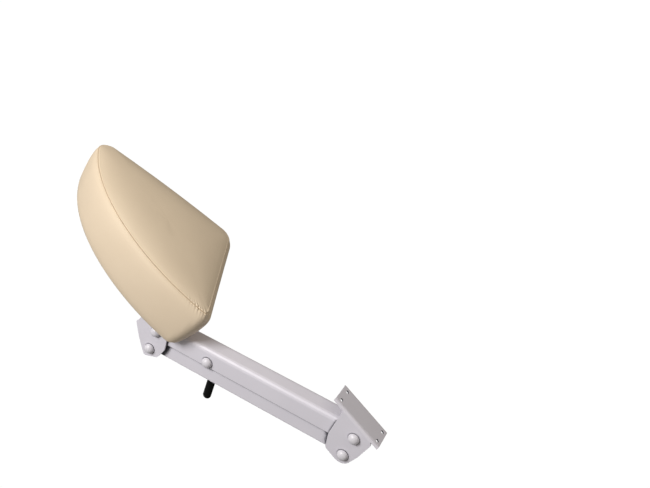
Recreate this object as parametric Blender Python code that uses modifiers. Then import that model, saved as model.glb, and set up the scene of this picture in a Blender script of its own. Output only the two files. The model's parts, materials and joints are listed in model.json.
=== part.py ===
"""Swing-up side bolster of a massage table: an upholstered pad on a parallel-link steel arm.

Frame: the origin is the centre of the base bracket's mounting face, +Z is that face's
normal (up through the backrest that carries it), -X points to the pad, +Y to the table.
All sizes are in metres and degrees.
"""
import math

import bmesh
import bpy
from mathutils import Matrix, Vector

# ---------------------------------------------------------------- driving dimensions
GAP = 0.0003                    # air between touching pieces
OBJECT_NAME = "side_bolster"

# four-bar linkage, in the X-Z plane
LINK_LENGTH = 0.3787            # between the base and head pivots
LINK_SLOPE = 28.47              # the arm hangs this far below the mounting face
BASE_PIVOT = (0.008, -0.024)    # upper base pivot
SIDE_STEP = (0.0121, -0.0398)   # from an upper pivot to the lower one of its bracket
LIFT_LOWEST = -2.0              # travel of the arm, which sets the clamp slot's ends
LIFT_HIGHEST = 28.5
CLAMP_PLACE = (-0.274, -0.010)  # clamp bolt, in the upper link's frame

# pressed channels
SHEET = 0.002
UPPER_WIDTH = 0.034
UPPER_TOP = 0.015
UPPER_LIP = -0.019
UPPER_BEND = 0.007
LOWER_WIDTH = 0.027
LOWER_BOTTOM = -0.0095
LOWER_RIM = 0.0288
LOWER_BEND = 0.004
CHANNEL_OVERHANG = 0.012
TONGUE_TOP = 0.0418
TONGUE_HALF = 0.026

# brackets
PLATE = 0.003
CHEEK_INNER = 0.0184
CHEEK_OUTER = CHEEK_INNER + PLATE
BRACKET_BEND = 0.005
BLANK_LENGTH = 0.150            # of the bent U before its outline is cut

# fasteners
BOLT_R = 0.004
HOLE_R = BOLT_R + GAP
SCREW_R = 0.003
SCREW_HOLE_R = SCREW_R + GAP
CAP_R = 0.0095
CAP_HEIGHT = 0.0078
CAP_WALL = 0.0013
NUT_R = 0.0075
NUT_HEIGHT = 0.008
STEEL_WASHER = 0.0016
SLEEVE_R = 0.006
WASHER_R = 0.009
FRICTION_R = 0.011

# pad, as an outline in its own plane: u to the table, v to the head end, w up from the seam
PAD_TILT = 5.3
PAD_CORNER = (0.0491, -0.034, 0.1277)   # seam corner nearest the base, in the head frame
ELLIPSE_CENTRE = (0.1796, 0.070)
ELLIPSE_RADII = (0.1878, 0.310)
INNER_FOOT = Vector((0.1825, 0.0883))   # where the straight inner and foot sides would meet
FOOT_OUTER = Vector((0.003, -0.004))
FLARE = 12.9
TIP_R = 0.018
INNER_R = 0.024
OUTER_R = 0.006
INNER_BOW = 0.003                       # of the inner side
PAD_BOTTOM = -0.0985
PAD_CROWN = 0.011
FOOT_RELIEF = 0.016                     # extra under-edge inset where the arm passes
# Under edge: inset, extra inset on the foot side, extra radius of the outer corner, height
# above the bottom on the foot side, and how far the soft rim drops on the other sides.
RIM_SECTIONS = (
    (0.0120, 0.0200, 0.0, 0.0, 0.0),
    (0.0070, 0.0090, 0.010, 0.0024, 0.0140),
    (0.0000, 0.0030, 0.012, 0.0090, 0.0140),
    (-0.0040, 0.0020, 0.012, 0.0180, 0.0100),
)
# Side band: the same three, and the depth below the seam as a share of the whole.
BAND_SECTIONS = (
    (-0.0060, -0.0035, 0.010, 0.50),
    (-0.0040, -0.0055, 0.006, 0.15),
    (0.0, 0.0, 0.0, 0.0),
)
CROWN_INSET = 0.012
CROWN_SECTIONS = ((0.25, 1.0), (0.72, 0.62), (0.98, 0.28))     # share of the crown, scale
OUTER_STEPS = 6                         # points of the outline's corners and sides
SIDE_STEPS = 22
TIP_STEPS = 7
STRAIGHT_STEPS = 6
INNER_STEPS = 7
FOOT_STEPS = 5
COVER = 0.0012
LIP_INSET = 0.0255
BOARD_INSET = 0.0185
BOARD_THICK = 0.012
BOARD_BOTTOM = -0.097
DUST_INSET = 0.021
DUST_BOTTOM = -0.0996
DUST_THICK = 0.0008
PLATE_TOP = 0.0277                      # pad plate's top face, in the head frame
PAD_SCREWS = ((-0.095, -0.002), (-0.095, 0.078), (-0.060, 0.068), (-0.034, 0.036))

# clamp lever
LEVER_REST = 6.0                         # turn of the lever from square to the arm
HUB_R = 0.0085
HUB_INNER = 0.0192
HUB_THICK = 0.012
LEVER_ROD_R = 0.0035
ROD_TOP = -0.0058                       # blind end of the hub's socket for the rod
SOCKET_FLOOR = -0.02
GRIP_TOP = -0.034
GRIP_TIP = -0.118
GRIP_R = 0.0078
GRIP_FLATTEN = 0.8

STEPS = 16                              # facets round a turned piece

# ---------------------------------------------------------------- scene and materials
for old in list(bpy.data.objects):
    bpy.data.objects.remove(old, do_unlink=True)

parts = bpy.data.collections.new(OBJECT_NAME)
cutters = bpy.data.collections.new(OBJECT_NAME + "_cutters")
bpy.context.scene.collection.children.link(parts)
bpy.context.scene.collection.children.link(cutters)


def material(name, colour, roughness, metallic=0.0):
    """A Principled material of one colour."""
    made = bpy.data.materials.new(name)
    made.use_nodes = True
    shader = made.node_tree.nodes["Principled BSDF"]
    shader.inputs["Base Color"].default_value = (*colour, 1.0)
    shader.inputs["Roughness"].default_value = roughness
    shader.inputs["Metallic"].default_value = metallic
    return made


VINYL = material("cream_vinyl", (0.72, 0.58, 0.40), 0.45)
FOAM = material("foam", (0.80, 0.74, 0.55), 0.9)
PLYWOOD = material("plywood", (0.55, 0.38, 0.21), 0.7)
DUST_CLOTH = material("dust_cloth", (0.03, 0.03, 0.03), 0.95)
WHITE_PAINT = material("white_paint", (0.76, 0.73, 0.80), 0.4)
WHITE_PLASTIC = material("white_plastic", (0.78, 0.76, 0.82), 0.35)
NYLON = material("nylon", (0.75, 0.75, 0.72), 0.5)
ZINC = material("zinc_steel", (0.60, 0.60, 0.58), 0.35, 1.0)
FIBRE = material("fibre", (0.20, 0.13, 0.08), 0.8)
BLACK_PLASTIC = material("black_plastic", (0.012, 0.012, 0.013), 0.4)


# ---------------------------------------------------------------- modelling helpers
def add_object(name, data, parent=None, collection=parts):
    """Put mesh or curve data in the scene under a parent."""
    made = bpy.data.objects.new(name, data)
    collection.objects.link(made)
    made.parent = parent
    return made


def add_empty(name, place, turn, parent=None):
    """A joint's axis: an empty at a place, turned about Y by some degrees."""
    made = add_object(name, None, parent)
    made.location = place
    made.rotation_euler = (0.0, math.radians(turn), 0.0)
    return made


def evaluated_mesh(source):
    """The mesh that an object's modifiers or curve settings make, with its caps welded."""
    bpy.context.view_layer.update()
    graph = bpy.context.evaluated_depsgraph_get()
    mesh = bpy.data.meshes.new_from_object(source.evaluated_get(graph))
    work = bmesh.new()
    work.from_mesh(mesh)
    bmesh.ops.remove_doubles(work, verts=work.verts, dist=0.00001)
    work.to_mesh(mesh)
    work.free()
    bpy.data.objects.remove(source, do_unlink=True)
    return mesh


def rounded(corners, steps=4):
    """Outline points of a polygon whose corners (x, y, radius) are rounded."""
    points = []
    for index, (x, y, radius) in enumerate(corners):
        corner = Vector((x, y))
        if radius == 0:
            points.append(corner)
            continue
        before = Vector(corners[index - 1][:2]) - corner
        after = Vector(corners[(index + 1) % len(corners)][:2]) - corner
        half = before.angle(after) / 2
        middle = (before.normalized() + after.normalized()).normalized()
        centre = corner + middle * (radius / math.sin(half))
        start = corner + before.normalized() * (radius / math.tan(half)) - centre
        sweep = start.angle_signed(corner + after.normalized() * (radius / math.tan(half)) - centre)
        for step in range(steps + 1):
            points.append(centre + Matrix.Rotation(-sweep * step / steps, 2) @ start)
    return points


def extruded_mesh(outline, thickness, plane, hole=None):
    """A flat outline given a thickness, centred on its plane, with one hole if asked.

    plane "XZ" reads the outline as (x, z) and extrudes along Y, "YZ" as (y, z) and
    extrudes along X, "XY" as (x, y) and extrudes along Z.
    """
    curve = bpy.data.curves.new("outline", "CURVE")
    curve.dimensions = "2D"
    curve.fill_mode = "BOTH"
    curve.extrude = thickness / 2
    for loop in filter(None, (outline, hole)):
        spline = curve.splines.new("POLY")
        spline.points.add(len(loop) - 1)
        for point, (x, y) in zip(spline.points, loop):
            point.co = (x, y, 0.0, 1.0)
        spline.use_cyclic_u = True
    mesh = evaluated_mesh(add_object("outline", curve))
    if plane == "XZ":
        mesh.transform(Matrix.Rotation(math.pi / 2, 4, "X"))
    if plane == "YZ":
        mesh.transform(Matrix.Rotation(math.pi / 2, 4, "Z") @ Matrix.Rotation(math.pi / 2, 4, "X"))
    return mesh


def turned_mesh(profile, steps=STEPS):
    """A profile (radius, height), listed down its outer side, turned about Y.

    The profile's height runs along -Y, away from the table.
    """
    mesh = bpy.data.meshes.new("profile")
    points = [(radius, 0.0, height) for radius, height in profile]
    edges = [(index, index + 1) for index in range(len(points) - 1)]
    if profile[0][0] > 0:
        edges.append((len(points) - 1, 0))
    mesh.from_pydata(points, edges, [])
    holder = add_object("profile", mesh)
    screw = holder.modifiers.new("turn", "SCREW")
    screw.steps = steps
    screw.render_steps = steps
    screw.use_merge_vertices = True
    screw.merge_threshold = 0.00001
    made = evaluated_mesh(holder)
    made.transform(Matrix.Rotation(math.pi / 2, 4, "X"))
    return made


def tube_mesh(outer, inner, start, end, steps=STEPS):
    """A plain tube about Y between two y values."""
    low, high = sorted((-start, -end))
    return turned_mesh([(outer, high), (outer, low), (inner, low), (inner, high)], steps)


def circle(radius, steps):
    """Points round a circle."""
    angles = [2 * math.pi * step / steps for step in range(steps)]
    return [(radius * math.cos(angle), radius * math.sin(angle)) for angle in angles]


def nut_mesh(start, height):
    """A hexagon nut about Y, from y = start outwards."""
    mesh = extruded_mesh(circle(NUT_R, 6), height, "XZ", circle(HOLE_R, STEPS))
    mesh.transform(Matrix.Translation((0.0, start + height / 2, 0.0)))
    return mesh


def place(name, mesh, finish, parent=None, spot=(0.0, 0.0, 0.0)):
    """One piece from a mesh, which copies of it may share, at a spot of its parent's frame."""
    piece = dress(add_object(name, mesh, parent), finish)
    piece.location = spot
    return piece


def dress(piece, finish, smooth=True):
    """Give a piece its material and smooth round faces."""
    piece.data.materials.clear()
    piece.data.materials.append(finish)
    if smooth:
        piece.data.shade_smooth()
        piece.data.set_sharp_from_angle(angle=math.radians(35))
    return piece


def cut(piece, name, mesh, operation="DIFFERENCE", place=(0.0, 0.0, 0.0)):
    """Cut a piece with a mesh in the piece's own frame, or keep only what both hold."""
    cutter = add_object(name, mesh, piece.parent, cutters)
    cutter.location = place
    cutter.hide_render = True
    cutter.display_type = "WIRE"
    boolean = piece.modifiers.new(name, "BOOLEAN")
    boolean.operation = operation
    boolean.solver = "EXACT"
    boolean.object = cutter
    return cutter


def cross_cylinder(radius, length, steps=STEPS):
    """A closed cylinder about Y, centred, for drilling both walls of a channel."""
    half = length / 2
    return turned_mesh([(0.0, half), (radius, half), (radius, -half), (0.0, -half)], steps)


def upright_mesh(profile, steps=STEPS):
    """A turned profile (radius, z), listed from the top down, about Z."""
    made = turned_mesh(profile, steps)
    made.transform(Matrix.Rotation(-math.pi / 2, 4, "X"))
    return made


def channel_outline(width, top, rim, bend, sheet=SHEET):
    """A U section as (y, z): the web at top, the walls' free edges at rim."""
    half = width / 2
    inner = half - sheet
    up = 1 if top > rim else -1
    under = top - up * sheet
    corners = [
        (-half, rim, 0),
        (-half, top, bend),
        (half, top, bend),
        (half, rim, 0),
        (inner, rim, 0),
        (inner, under, bend - sheet),
        (-inner, under, bend - sheet),
        (-inner, rim, 0),
    ]
    return rounded(corners, 3)


# ---------------------------------------------------------------- joint axes
base_axis = Vector((BASE_PIVOT[0], 0.0, BASE_PIVOT[1]))
lower_base_axis = base_axis + Vector((SIDE_STEP[0], 0.0, SIDE_STEP[1]))
upper_hinge = add_empty("upper_link_hinge", base_axis, -LINK_SLOPE)
lower_hinge = add_empty("lower_link_hinge", lower_base_axis, -LINK_SLOPE)
head_hinge = add_empty("head_hinge", (-LINK_LENGTH, 0.0, 0.0), LINK_SLOPE - PAD_TILT, upper_hinge)
lever_hinge = add_empty("lever_hinge", (CLAMP_PLACE[0], 0.0, CLAMP_PLACE[1]), LEVER_REST,
                        upper_hinge)


def turn_in_plane(vector, degrees):
    """Components of an X-Z vector in a frame that is turned about Y like the hinges."""
    angle = math.radians(degrees)
    x, z = vector
    return (x * math.cos(angle) + z * math.sin(angle), z * math.cos(angle) - x * math.sin(angle))


HEAD_LOWER = turn_in_plane(SIDE_STEP, PAD_TILT)       # lower head pivot in the head frame


# ---------------------------------------------------------------- brackets
def make_base_bracket():
    """A bent U plate: two cheeks under a web that screws to the backrest frame."""
    section = channel_outline(2 * CHEEK_OUTER, 0.0, -0.090, BRACKET_BEND, PLATE)
    mesh = extruded_mesh(section, BLANK_LENGTH, "YZ")
    bracket = dress(add_object("base_bracket", mesh), WHITE_PAINT)
    web_under = -PLATE - 0.0012
    cheek = [
        (-0.058, 0.001, 0),
        (-0.058, web_under, 0),
        (-0.0365, web_under, 0.004),
        (-0.030, -0.026, 0.03),
        (-0.0205, -0.057, 0.03),
        (-0.005, -0.0817, 0.006),
        (0.0358, -0.0827, 0.0165),
        (0.0358, -0.045, 0.03),
        (0.031, -0.008, 0.008),
        (0.026, web_under, 0),
        (0.040, web_under, 0),
        (0.040, 0.001, 0),
    ]
    cut(bracket, "base_cheek_outline", extruded_mesh(rounded(cheek), 0.08, "XZ"), "INTERSECT")
    for index, spot in enumerate((base_axis, lower_base_axis)):
        cut(bracket, f"base_pivot_hole_{index}", cross_cylinder(HOLE_R, 0.08), place=spot)
    hole = upright_mesh([(0.0, 0.01), (0.0028, 0.01), (0.0028, -0.01), (0.0, -0.01)], 12)
    spots = [(x, y, 0.0) for x in (-0.049, 0.0325) for y in (-0.011, 0.011)]
    for index, spot in enumerate(spots):
        cut(bracket, f"base_screw_hole_{index}", hole, place=spot)
    return bracket


def make_head_bracket():
    """A bent U plate under the pad plate, in the head frame."""
    top = PLATE_TOP - PLATE - GAP
    section = channel_outline(2 * CHEEK_OUTER, top, -0.070, BRACKET_BEND, PLATE)
    mesh = extruded_mesh(section, BLANK_LENGTH, "YZ")
    bracket = dress(add_object("head_bracket", mesh, head_hinge), WHITE_PAINT)
    web_under = top - PLATE - 0.0012
    cheek = [
        (-0.062, top + 0.001, 0),
        (-0.062, web_under, 0),
        (-0.0315, web_under, 0.006),
        (-0.0395, -0.0165, 0.005),
        (-0.0205, -0.0390, 0.004),
        (0.0065, -0.0640, 0.005),
        (0.0285, -0.0440, 0.010),
        (0.0310, -0.0180, 0.020),
        (0.0225, 0.0060, 0.020),
        (0.0080, web_under, 0.002),
        (0.0069, top + 0.001, 0),
    ]
    cut(bracket, "head_cheek_outline", extruded_mesh(rounded(cheek), 0.08, "XZ"), "INTERSECT")
    spots = ((0.0, 0.0), HEAD_LOWER)
    for index, (x, z) in enumerate(spots):
        cut(bracket, f"head_pivot_hole_{index}", cross_cylinder(HOLE_R, 0.08), place=(x, 0.0, z))
    return bracket


def make_pad_plate():
    """The flat plate welded on the head bracket, which screws to the pad's board."""
    corners = [
        (0.012, -0.020, 0.004),
        (0.012, 0.024, 0.010),
        (-0.038, 0.092, 0.012),
        (-0.112, 0.092, 0.010),
        (-0.112, -0.020, 0.008),
    ]
    mesh = extruded_mesh(rounded(corners), PLATE, "XY")
    mesh.transform(Matrix.Translation((0.0, 0.0, PLATE_TOP - PLATE / 2)))
    plate = dress(add_object("pad_plate", mesh, head_hinge), WHITE_PAINT)
    drill_pad_screws(plate, SCREW_HOLE_R)
    return plate


def drill_pad_screws(piece, radius, low=0.02, high=0.06):
    """Holes at the four pad screws, between two heights of the head frame."""
    hole = upright_mesh([(0.0, high), (radius, high), (radius, low), (0.0, low)], 16)
    for index, (x, y) in enumerate(PAD_SCREWS):
        cut(piece, f"{piece.name}_screw_hole_{index}", hole, place=(x, y, 0.0))


# ---------------------------------------------------------------- links
def make_upper_channel():
    """The top link: a channel open downwards, whose lips hang over the lower link."""
    section = channel_outline(UPPER_WIDTH, UPPER_TOP, UPPER_LIP, UPPER_BEND)
    mesh = extruded_mesh(section, LINK_LENGTH + 2 * CHANNEL_OVERHANG, "YZ")
    mesh.transform(Matrix.Translation((-LINK_LENGTH / 2, 0.0, 0.0)))
    channel = dress(add_object("upper_channel", mesh, upper_hinge), WHITE_PAINT)
    spots = ((0.0, 0.0), (-LINK_LENGTH, 0.0), CLAMP_PLACE)
    for index, (x, z) in enumerate(spots):
        cut(channel, f"upper_hole_{index}", cross_cylinder(HOLE_R, 0.05), place=(x, 0.0, z))
    return channel


def clamp_slot_outline():
    """The arc that the clamp bolt sweeps through the lower link, as wide as the bolt."""
    radius = math.hypot(*SIDE_STEP)
    rest_x, rest_z = turn_in_plane((-SIDE_STEP[0], -SIDE_STEP[1]), LINK_SLOPE)
    rest = math.atan2(rest_z, rest_x)
    first = rest + math.radians(LIFT_LOWEST - 0.5)
    last = rest + math.radians(LIFT_HIGHEST + 0.5)
    half = BOLT_R + GAP
    centre = Vector(CLAMP_PLACE)
    outline = []
    steps = 8
    for step in range(steps + 1):
        angle = first + (last - first) * step / steps
        outline.append(centre + Vector((math.cos(angle), math.sin(angle))) * (radius + half))
    for step in range(1, steps):
        angle = last + math.pi * step / steps
        end = centre + Vector((math.cos(last), math.sin(last))) * radius
        outline.append(end + Vector((math.cos(angle), math.sin(angle))) * half)
    for step in range(steps + 1):
        angle = last + (first - last) * step / steps
        outline.append(centre + Vector((math.cos(angle), math.sin(angle))) * (radius - half))
    for step in range(1, steps):
        angle = first + math.pi + math.pi * step / steps
        end = centre + Vector((math.cos(first), math.sin(first))) * radius
        outline.append(end + Vector((math.cos(angle), math.sin(angle))) * half)
    return outline


def make_lower_channel():
    """The bottom link: a channel open upwards, with a slotted tongue at the clamp."""
    section = channel_outline(LOWER_WIDTH, LOWER_BOTTOM, TONGUE_TOP, LOWER_BEND)
    mesh = extruded_mesh(section, LINK_LENGTH + 2 * CHANNEL_OVERHANG, "YZ")
    mesh.transform(Matrix.Translation((-LINK_LENGTH / 2, 0.0, 0.0)))
    channel = dress(add_object("lower_channel", mesh, lower_hinge), WHITE_PAINT)
    far_end = -LINK_LENGTH - CHANNEL_OVERHANG - 0.005
    near_end = CHANNEL_OVERHANG + 0.005
    tongue_centre = CLAMP_PLACE[0]
    spans = ((far_end, tongue_centre - TONGUE_HALF), (tongue_centre + TONGUE_HALF, near_end))
    above = TONGUE_TOP + 0.005
    for index, (start, end) in enumerate(spans):
        box = [(start, LOWER_RIM, 0), (end, LOWER_RIM, 0), (end, above, 0), (start, above, 0)]
        cut(channel, f"lower_rim_{index}", extruded_mesh(rounded(box), 0.05, "XZ"))
    cut(channel, "clamp_slot", extruded_mesh(clamp_slot_outline(), 0.05, "XZ"))
    for index, x in enumerate((0.0, -LINK_LENGTH)):
        cut(channel, f"lower_hole_{index}", cross_cylinder(HOLE_R, 0.05), place=(x, 0.0, 0.0))
    return channel


# ---------------------------------------------------------------- pivots
def bolt_mesh(head_face, end):
    """A round-head bolt about Y: its head outside y = head_face, its shank to y = end."""
    face = -head_face
    head = 0.0068
    profile = [
        (0.0, face + 0.0044),
        (0.0042, face + 0.0040),
        (head, face + 0.0012),
        (head, face),
        (BOLT_R, face),
        (BOLT_R, -end),
        (0.0, -end),
    ]
    return turned_mesh(profile, 16)


def cap_mesh(face):
    """A hollow dome cap standing on y = face, open towards the plate."""
    start = -face
    outer = [(CAP_R * math.sin(a), start + CAP_HEIGHT * math.cos(a)) for a in quarter(5)]
    inner_r = CAP_R - CAP_WALL
    inner_h = CAP_HEIGHT - CAP_WALL
    inner = [(inner_r * math.sin(a), start + inner_h * math.cos(a)) for a in reversed(quarter(4))]
    return turned_mesh(outer + inner)


def quarter(steps):
    """Angles from 0 to 90 degrees."""
    return [math.pi / 2 * step / steps for step in range(steps + 1)]


def place_both_sides(name, outer, inner, start, end, finish, parent, spot):
    """The same washer on the outer and on the table side of the arm."""
    near = tube_mesh(outer, inner, -end, -start)
    far = tube_mesh(outer, inner, start, end)
    place(name + "_outer_side", near, finish, parent, spot)
    place(name + "_table_side", far, finish, parent, spot)


def make_bracket_fasteners(prefix, upper, lower, parent):
    """Bolts, caps, washers and nuts of a bracket's two pivots."""
    face = CHEEK_OUTER + GAP
    nut_face = face + STEEL_WASHER + GAP
    end = nut_face + NUT_HEIGHT + 0.0015
    bolt = bolt_mesh(-face, end)
    cap = cap_mesh(-face)
    washer = tube_mesh(WASHER_R, HOLE_R, face, face + STEEL_WASHER)
    nut = nut_mesh(nut_face, NUT_HEIGHT)
    for level, (x, z), width in (("upper", upper, UPPER_WIDTH), ("lower", lower, LOWER_WIDTH)):
        label = f"{prefix}_{level}"
        spot = (x, 0.0, z)
        place(label + "_pivot_bolt", bolt, ZINC, parent, spot)
        place(label + "_pivot_cap", cap, WHITE_PLASTIC, parent, spot)
        place(label + "_steel_washer", washer, ZINC, parent, spot)
        place(label + "_lock_nut", nut, ZINC, parent, spot)
        start = width / 2 + GAP
        place_both_sides(label + "_washer", WASHER_R, HOLE_R, start, CHEEK_INNER - GAP,
                         NYLON, parent, spot)


def make_sleeves(prefix, width, parent):
    """The spacer sleeves between a channel's walls at its two pivots."""
    half = width / 2 - SHEET - GAP
    sleeve = tube_mesh(SLEEVE_R, HOLE_R, -half, half)
    place(prefix + "_base_sleeve", sleeve, ZINC, parent)
    place(prefix + "_head_sleeve", sleeve, ZINC, parent, (-LINK_LENGTH, 0.0, 0.0))


# ---------------------------------------------------------------- clamp and lever
def make_clamp():
    """The bolt, cap, washers and spacer that squeeze the upper link on the lower one."""
    spot = (CLAMP_PLACE[0], 0.0, CLAMP_PLACE[1])
    face = UPPER_WIDTH / 2 + GAP
    end = HUB_INNER + HUB_THICK + 0.001
    place("clamp_bolt", bolt_mesh(-face, end), ZINC, upper_hinge, spot)
    place("clamp_cap", cap_mesh(-face), WHITE_PLASTIC, upper_hinge, spot)
    place_both_sides("clamp_friction_washer", FRICTION_R, HOLE_R, LOWER_WIDTH / 2 + GAP,
                     UPPER_WIDTH / 2 - SHEET - GAP, FIBRE, upper_hinge, spot)
    half = LOWER_WIDTH / 2 - SHEET - GAP
    spacer = tube_mesh(SLEEVE_R, HOLE_R, -half, half)
    place("clamp_spacer", spacer, ZINC, upper_hinge, spot)
    washer = tube_mesh(FRICTION_R, HOLE_R, face, HUB_INNER - GAP)
    place("clamp_washer", washer, ZINC, upper_hinge, spot)


def make_lever():
    """The clamp lever on the table side: a threaded hub, a steel rod and a plastic grip."""
    middle = HUB_INNER + HUB_THICK / 2
    hub_mesh = tube_mesh(HUB_R, HOLE_R, HUB_INNER, HUB_INNER + HUB_THICK)
    hub = dress(add_object("lever_hub", hub_mesh, lever_hinge), ZINC)
    rod_end = GRIP_TIP + 0.018
    socket_r = LEVER_ROD_R + GAP
    socket_top = ROD_TOP + GAP
    socket = [(0.0, socket_top), (socket_r, socket_top), (socket_r, SOCKET_FLOOR), (0.0, SOCKET_FLOOR)]
    cut(hub, "lever_socket", upright_mesh(socket, 16), place=(0.0, middle, 0.0))
    rod = [(0.0, ROD_TOP), (LEVER_ROD_R, ROD_TOP), (LEVER_ROD_R, rod_end), (0.0, rod_end)]
    place("lever_rod", upright_mesh(rod, 16), ZINC, lever_hinge, (0.0, middle, 0.0))
    grip_mesh = upright_mesh(grip_profile(), 20)
    grip_mesh.transform(Matrix.Diagonal((1.0, GRIP_FLATTEN, 1.0, 1.0)))
    grip = dress(add_object("lever_grip", grip_mesh, lever_hinge), BLACK_PLASTIC)
    grip.location = (0.0, middle, 0.0)
    bore_end = rod_end - GAP
    bore = [(0.0, 0.0), (socket_r, 0.0), (socket_r, bore_end), (0.0, bore_end)]
    cut(grip, "grip_bore", upright_mesh(bore, 16), place=(0.0, middle, 0.0))


def grip_profile():
    """The grip, from its flat top down its side to its round tip."""
    side = [(0.0, GRIP_TOP), (GRIP_R - 0.0015, GRIP_TOP), (GRIP_R - 0.0005, GRIP_TOP - 0.0015)]
    centre = GRIP_TIP + GRIP_R
    tip = [(GRIP_R * math.cos(a), centre - GRIP_R * math.sin(a)) for a in quarter(5)]
    return side + tip[:-1] + [(0.0, GRIP_TIP)]


# ---------------------------------------------------------------- pad
def line_inward(point, direction, inset):
    """A straight side moved towards the pad's middle, as a point and a direction."""
    normal = Vector((-direction.y, direction.x))
    return point + normal * inset, direction


def ellipse_point(angle, inset):
    """A point of the long curved side, moved inwards by inset."""
    u = ELLIPSE_CENTRE[0] - (ELLIPSE_RADII[0] - inset) * math.cos(angle)
    v = ELLIPSE_CENTRE[1] + (ELLIPSE_RADII[1] - inset) * math.sin(angle)
    return Vector((u, v))


def ellipse_normal(angle, inset):
    """The outward direction of the curved side at an angle."""
    across = (ELLIPSE_RADII[0] - inset) * math.sin(angle)
    along = (ELLIPSE_RADII[1] - inset) * math.cos(angle)
    return Vector((-along, across)).normalized()


def meet_ellipse(point, direction, inset, low, high):
    """The angle at which the curved side meets a straight one, by halving."""
    normal = Vector((-direction.y, direction.x))
    sign = (ellipse_point(low, inset) - point).dot(normal) > 0
    for _ in range(40):
        middle = (low + high) / 2
        if ((ellipse_point(middle, inset) - point).dot(normal) > 0) == sign:
            low = middle
        else:
            high = middle
    return low


def arc(centre, radius, first, last, steps):
    """Points of a corner, from one outward direction to another, clockwise."""
    start = math.atan2(first.y, first.x)
    sweep = (start - math.atan2(last.y, last.x)) % (2 * math.pi)
    angles = [start - sweep * step / steps for step in range(steps + 1)]
    return [centre + Vector((math.cos(a), math.sin(a))) * radius for a in angles]


def pad_outline(inset, foot_extra=0.0, corner_extra=0.0):
    """The pad's outline, clockwise from the outer foot corner, moved inwards by inset."""
    tip_r = max(TIP_R - inset, 0.004)
    inner_r = max(INNER_R - inset, 0.004)
    outer_r = max(OUTER_R + corner_extra - inset, 0.004)
    up = Vector((-math.sin(math.radians(FLARE)), math.cos(math.radians(FLARE))))
    foot = (INNER_FOOT - FOOT_OUTER).normalized()
    foot_normal = Vector((-foot.y, foot.x))
    inner_normal = Vector((up.y, -up.x))

    reach = inset + tip_r
    point, _ = line_inward(INNER_FOOT, up, reach)
    tip_angle = meet_ellipse(point, up, reach, 0.0, math.pi / 2)
    tip = arc(ellipse_point(tip_angle, reach), tip_r,
              ellipse_normal(tip_angle, reach), inner_normal, TIP_STEPS - 1)

    reach = inset + outer_r
    point, _ = line_inward(FOOT_OUTER, foot, reach + foot_extra)
    foot_angle = meet_ellipse(point, foot, reach, -1.2, 0.6)
    outer = arc(ellipse_point(foot_angle, reach), outer_r,
                -foot_normal, ellipse_normal(foot_angle, reach), OUTER_STEPS - 1)

    reach = inset + inner_r
    point = line_inward(INNER_FOOT, up, reach)[0]
    foot_point = line_inward(FOOT_OUTER, foot, reach + foot_extra)[0]
    offset = foot_point - point
    along = offset.dot(foot_normal) / up.dot(foot_normal)
    inner = arc(point + up * along, inner_r, inner_normal, -foot_normal, INNER_STEPS - 1)

    shares = [step / SIDE_STEPS for step in range(1, SIDE_STEPS)]
    angles = [foot_angle + (tip_angle - foot_angle) * share for share in shares]
    side = [ellipse_point(angle, inset) for angle in angles]
    straight = []
    for step in range(1, STRAIGHT_STEPS):
        share = step / STRAIGHT_STEPS
        bow = inner_normal * (INNER_BOW * math.sin(math.pi * share))
        straight.append(tip[-1].lerp(inner[0], share) + bow)
    bottom = [inner[-1].lerp(outer[0], s / FOOT_STEPS) for s in range(1, FOOT_STEPS)]
    return outer + side + tip + straight + inner + bottom


def pad_levels():
    """The skin's sections from the lip under the board up to the crown.

    Each is (inset, extra inset on the foot side, extra radius of the outer corner, height,
    drop of the rim, scale about the middle).
    """
    levels = [(LIP_INSET, FOOT_RELIEF, 0.0, PAD_BOTTOM, 0.0, 1.0)]
    for inset, extra, corner, height, drop in RIM_SECTIONS:
        levels.append((inset, extra, corner, PAD_BOTTOM + height, drop, 1.0))
    for inset, extra, corner, share in BAND_SECTIONS:
        levels.append((inset, extra, corner, PAD_BOTTOM * share, 0.0, 1.0))
    for share, scale in CROWN_SECTIONS:
        levels.append((CROWN_INSET, 0.0, 0.0, PAD_CROWN * share, 0.0, scale))
    return levels


def rim_weights():
    """How much of the rim's drop each outline point takes: none on the foot side."""
    outer = [math.sin(math.pi / 2 * step / (OUTER_STEPS - 1)) for step in range(OUTER_STEPS)]
    inner = [math.cos(math.pi / 2 * step / (INNER_STEPS - 1)) for step in range(INNER_STEPS)]
    whole = [1.0] * (SIDE_STEPS - 1 + TIP_STEPS + STRAIGHT_STEPS - 1)
    return outer + whole + inner + [0.0] * (FOOT_STEPS - 1)


def pad_rings(offset, floor=None):
    """Rings of points of the pad's skin moved inwards by offset, in the head frame."""
    middle_height = (PAD_BOTTOM + PAD_CROWN) / 2
    half = PAD_CROWN - middle_height
    rings = []
    for inset, extra, corner, height, drop, scale in pad_levels():
        if floor is not None and inset == LIP_INSET:
            continue
        level = middle_height + (height - middle_height) * (half - offset) / half
        outline = pad_outline(inset + offset, extra, corner)
        heart = sum(outline, Vector((0.0, 0.0))) / len(outline)
        ring = []
        for point, weight in zip(outline, rim_weights()):
            low = level - drop * weight
            if floor is not None:
                low = max(low, floor)
            ring.append(pad_point(heart.lerp(point, scale), low))
        rings.append(ring)
    return rings


def pad_point(outline_point, height):
    """A point of the pad in the head frame."""
    x = PAD_CORNER[0] - outline_point.y
    y = PAD_CORNER[1] + outline_point.x
    return Vector((x, y, PAD_CORNER[2] + height))


def bridge(work, lower, upper):
    """Quads between two rings of vertices."""
    count = len(lower)
    for index in range(count):
        after = (index + 1) % count
        work.faces.new((lower[index], lower[after], upper[after], upper[index]))


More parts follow.
